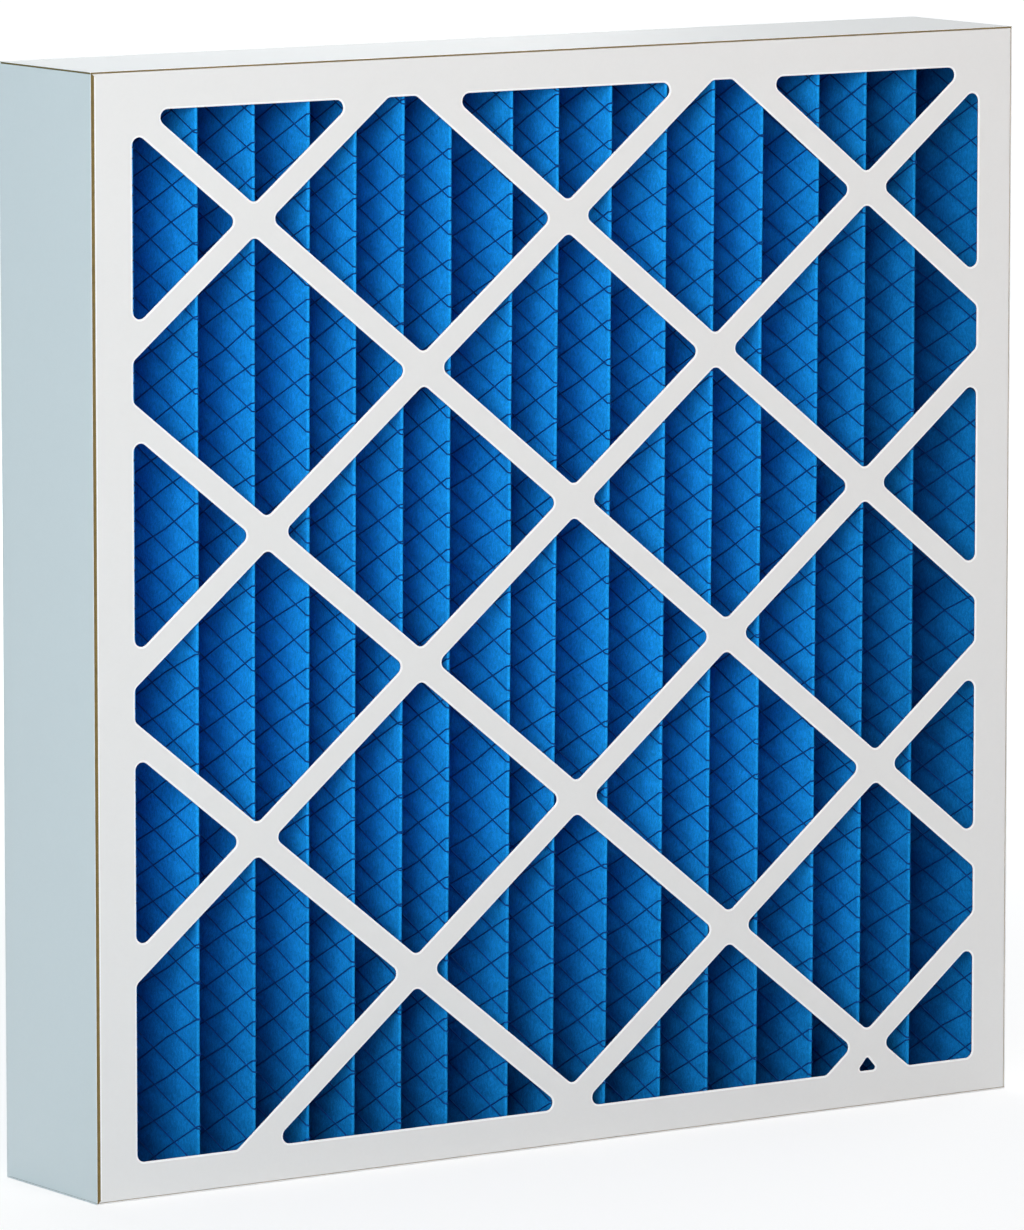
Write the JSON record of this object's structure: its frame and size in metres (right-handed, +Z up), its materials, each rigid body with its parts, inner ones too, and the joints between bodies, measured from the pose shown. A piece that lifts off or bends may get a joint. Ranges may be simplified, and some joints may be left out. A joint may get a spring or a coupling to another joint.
{
  "type": "pleated panel air filter",
  "caption": "Square pleated panel air filter: blue pleated media on a support mesh, held between two white die-cut board trays with diamond strut grids.",
  "frame": {"origin": "middle of the bottom edge face, halfway through the depth", "axes": "+Z up along the pleats, +X to the right seen from the mesh side, -Y out of the mesh side"},
  "size_m": [0.594, 0.092, 0.594],
  "materials": {
    "white_board": "matt clay-coated board",
    "blue_media": "felted non-woven fibre",
    "dark_mesh": "thin blue-black coated strands",
    "adhesive": "cured glue film"
  },
  "bodies": {
    "root": {"front_tray": "white_board", "rear_tray": "white_board", "pleated_media": "blue_media", "support_mesh": "dark_mesh", "top_adhesive": "adhesive", "bottom_adhesive": "adhesive", "left_adhesive": "adhesive", "right_adhesive": "adhesive"}
  },
  "joints": []
}
